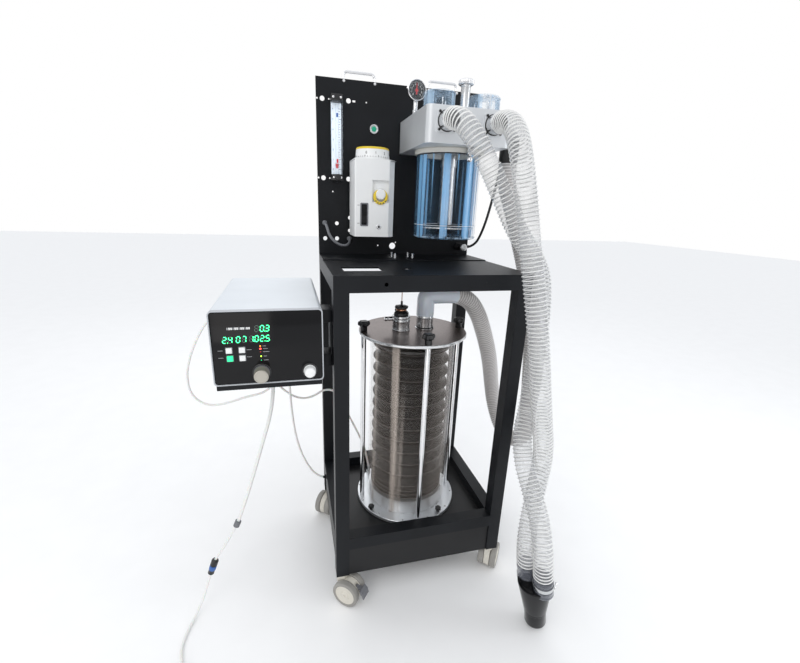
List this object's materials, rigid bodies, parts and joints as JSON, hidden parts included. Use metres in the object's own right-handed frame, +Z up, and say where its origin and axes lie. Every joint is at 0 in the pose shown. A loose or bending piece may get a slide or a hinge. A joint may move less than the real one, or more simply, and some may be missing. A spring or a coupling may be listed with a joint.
{
  "type": "anesthesia machine",
  "caption": "Trolley-mounted anesthesia machine for large animals with bellows housing, absorber head, vaporizer, flowmeter, ventilator control unit and corrugated patient hoses.",
  "frame": {"origin": "on the floor, midway between the outermost points of the machine without its hoses and tubes, in X and in Y", "axes": "+X to the machine's right as seen from its front, +Y to its back, +Z up"},
  "size_m": [1.0232, 0.636, 1.406],
  "materials": {
    "black_paint": "satin powder coat",
    "grey_paint": "satin paint",
    "white_paint": "gloss paint",
    "bright_steel": "brushed",
    "cast_silver": "blasted, lacquered",
    "plate_aluminium": "brushed",
    "black_plastic": "moulded",
    "grey_plastic": "moulded",
    "cream_plastic": "moulded",
    "green_plastic": "gloss",
    "white_plastic": "gloss",
    "clear_plastic": "clear",
    "clear_tube": "clear",
    "clear_hose": "clear with white ribs",
    "white_tube": "smooth",
    "black_tube": "smooth",
    "black_rubber": "matt",
    "caster_tyre": "grey tread on a cream core"
  },
  "bodies": {
    "cart": {"cart_frame": "black_paint", "shelf_top": "black_paint", "tray": "black_paint", "back_panel": "black_paint", "panel_fittings": "bright_steel", "panel_handles": "bright_steel", "flowmeter_tube": "clear_tube", "flowmeter_ends": "grey_paint", "vaporizer_body": "white_paint", "absorber_block": "cast_silver", "clear_covers": "clear_plastic", "head_fittings": "bright_steel", "gauge_case": "black_plastic", "canister_cup": "clear_plastic", "bellows_base": "plate_aluminium", "bellows_housing": "clear_plastic", "tie_rods": "bright_steel", "bellows_plate": "plate_aluminium", "bellows": "black_rubber", "unit_cover": "grey_paint", "unit_front": "black_plastic", "hose_left": "clear_hose", "hose_right": "clear_hose", "vent_hose": "clear_hose", "gas_line_tube": "black_tube", "jumper_tube": "black_tube", "drive_tube": "white_tube", "monitor_tube": "white_tube", "feed_tube": "white_tube", "bellows_tube": "white_tube", "supply_upper": "white_tube", "supply_lower": "white_tube", "supply_fittings": "black_plastic", "y_piece": "black_plastic"},
    "flush_button": {"flush_button": "green_plastic"},
    "flowmeter_knob": {"flowmeter_knob": "black_plastic"},
    "flowmeter_float": {"flowmeter_float": "black_plastic"},
    "vaporizer_dial": {"vaporizer_dial": "white_plastic"},
    "vaporizer_filler": {"vaporizer_filler": "black_plastic"},
    "valve_disc_left": {"valve_disc_left": "white_plastic"},
    "valve_disc_right": {"valve_disc_right": "white_plastic"},
    "apl_knob": {"apl_knob": "bright_steel"},
    "canister_latch": {"canister_latch": "bright_steel"},
    "gauge_needle": {"gauge_needle": "black_plastic"},
    "bellows_crown": {"bellows_crown": "black_plastic"},
    "flow_knob": {"flow_knob": "grey_plastic"},
    "rate_knob": {"rate_knob": "white_plastic"},
    "key_power": {"key_power": "white_plastic"},
    "key_mode": {"key_mode": "white_plastic"},
    "key_run": {"key_run": "green_plastic"},
    "key_mute": {"key_mute": "white_plastic"},
    "brake_pedal": {"brake_pedal": "black_plastic"},
    "caster_fork_front_left": {"caster_fork_front_left": "cream_plastic"},
    "caster_wheels_front_left": {"caster_wheels_front_left": "caster_tyre"},
    "caster_fork_front_right": {"caster_fork_front_right": "cream_plastic"},
    "caster_wheels_front_right": {"caster_wheels_front_right": "caster_tyre"},
    "caster_fork_rear_left": {"caster_fork_rear_left": "cream_plastic"},
    "caster_wheels_rear_left": {"caster_wheels_rear_left": "caster_tyre"},
    "caster_fork_rear_right": {"caster_fork_rear_right": "cream_plastic"},
    "caster_wheels_rear_right": {"caster_wheels_rear_right": "caster_tyre"}
  },
  "joints": [
    {"name": "flush_press", "type": "slide", "parent": "cart", "child": "flush_button", "axis": [0, 1, 0], "range_m": [0, 0.003], "stiffness_N_per_m": 250},
    {"name": "flow_needle_turn", "type": "hinge", "parent": "cart", "child": "flowmeter_knob", "pos_m": [-0.07615, 0.1727, 1.1295], "axis": [0, -1, 0], "range_deg": [0, 330]},
    {"name": "float_rise", "type": "slide", "parent": "cart", "child": "flowmeter_float", "axis": [0, 0, 1], "range_m": [0, 0.15]},
    {"name": "dial_turn", "type": "hinge", "parent": "cart", "child": "vaporizer_dial", "pos_m": [0.01585, 0.1437, 1.175], "axis": [0, 0, 1], "range_deg": [0, 270]},
    {"name": "filler_turn", "type": "hinge", "parent": "cart", "child": "vaporizer_filler", "pos_m": [0.02985, 0.1027, 1.087], "axis": [0, -1, 0], "range_deg": [0, 180]},
    {"name": "inhale_lift", "type": "slide", "parent": "cart", "child": "valve_disc_left", "axis": [0, 0, 1], "range_m": [0, 0.005]},
    {"name": "exhale_lift", "type": "slide", "parent": "cart", "child": "valve_disc_right", "axis": [0, 0, 1], "range_m": [0, 0.005]},
    {"name": "apl_turn", "type": "hinge", "parent": "cart", "child": "apl_knob", "pos_m": [0.21585, 0.0007, 1.346], "axis": [0, 0, 1], "range_deg": [0, 330]},
    {"name": "latch_swing", "type": "hinge", "parent": "cart", "child": "canister_latch", "pos_m": [0.22985, -0.0223, 1.196], "axis": [-1, 0, 0], "range_deg": [0, 60]},
    {"name": "needle_turn", "type": "hinge", "parent": "cart", "child": "gauge_needle", "pos_m": [0.11485, 0.0797, 1.34], "axis": [0, -1, 0], "range_deg": [0, 270]},
    {"name": "bellows_drop", "type": "slide", "parent": "cart", "child": "bellows_crown", "axis": [0, 0, -1], "range_m": [0, 0.35], "deforming": ["bellows"]},
    {"name": "flow_knob_turn", "type": "hinge", "parent": "cart", "child": "flow_knob", "pos_m": [-0.28515, -0.1833, 0.703], "axis": [0, -1, 0], "range_deg": [0, 300]},
    {"name": "rate_knob_turn", "type": "hinge", "parent": "cart", "child": "rate_knob", "pos_m": [-0.18315, -0.1833, 0.701], "axis": [0, -1, 0], "range_deg": [0, 300]},
    {"name": "power_press", "type": "slide", "parent": "cart", "child": "key_power", "axis": [0, 1, 0], "range_m": [0, 0.0015], "stiffness_N_per_m": 300},
    {"name": "mode_press", "type": "slide", "parent": "cart", "child": "key_mode", "axis": [0, 1, 0], "range_m": [0, 0.0015], "stiffness_N_per_m": 300},
    {"name": "run_press", "type": "slide", "parent": "cart", "child": "key_run", "axis": [0, 1, 0], "range_m": [0, 0.0015], "stiffness_N_per_m": 300},
    {"name": "mute_press", "type": "slide", "parent": "cart", "child": "key_mute", "axis": [0, 1, 0], "range_m": [0, 0.0015], "stiffness_N_per_m": 300},
    {"name": "swivel_front_left", "type": "hinge", "parent": "cart", "child": "caster_fork_front_left", "pos_m": [-0.11165, -0.1668, 0.088], "axis": [0, 0, 1], "continuous": true},
    {"name": "roll_front_left", "type": "hinge", "parent": "caster_fork_front_left", "child": "caster_wheels_front_left", "pos_m": [-0.09431, -0.18034, 0.0375], "axis": [0.6157, 0.788, 0], "continuous": true},
    {"name": "swivel_front_right", "type": "hinge", "parent": "cart", "child": "caster_fork_front_right", "pos_m": [0.33335, -0.1668, 0.088], "axis": [0, 0, 1], "continuous": true},
    {"name": "roll_front_right", "type": "hinge", "parent": "caster_fork_front_right", "child": "caster_wheels_front_right", "pos_m": [0.34749, -0.14995, 0.0375], "axis": [-0.766, 0.6428, 0], "continuous": true},
    {"name": "swivel_rear_left", "type": "hinge", "parent": "cart", "child": "caster_fork_rear_left", "pos_m": [-0.11165, 0.1982, 0.088], "axis": [0, 0, 1], "continuous": true},
    {"name": "roll_rear_left", "type": "hinge", "parent": "caster_fork_rear_left", "child": "caster_wheels_rear_left", "pos_m": [-0.12427, 0.18018, 0.0375], "axis": [0.8192, -0.5736, 0], "continuous": true},
    {"name": "swivel_rear_right", "type": "hinge", "parent": "cart", "child": "caster_fork_rear_right", "pos_m": [0.33335, 0.1982, 0.088], "axis": [0, 0, 1], "continuous": true},
    {"name": "roll_rear_right", "type": "hinge", "parent": "caster_fork_rear_right", "child": "caster_wheels_rear_right", "pos_m": [0.34087, 0.17753, 0.0375], "axis": [0.9397, 0.342, 0], "continuous": true},
    {"name": "brake_press", "type": "hinge", "parent": "caster_fork_front_left", "child": "brake_pedal", "pos_m": [-0.07461, -0.19574, 0.055], "axis": [0.6157, 0.788, 0], "range_deg": [0, 12]}
  ]
}
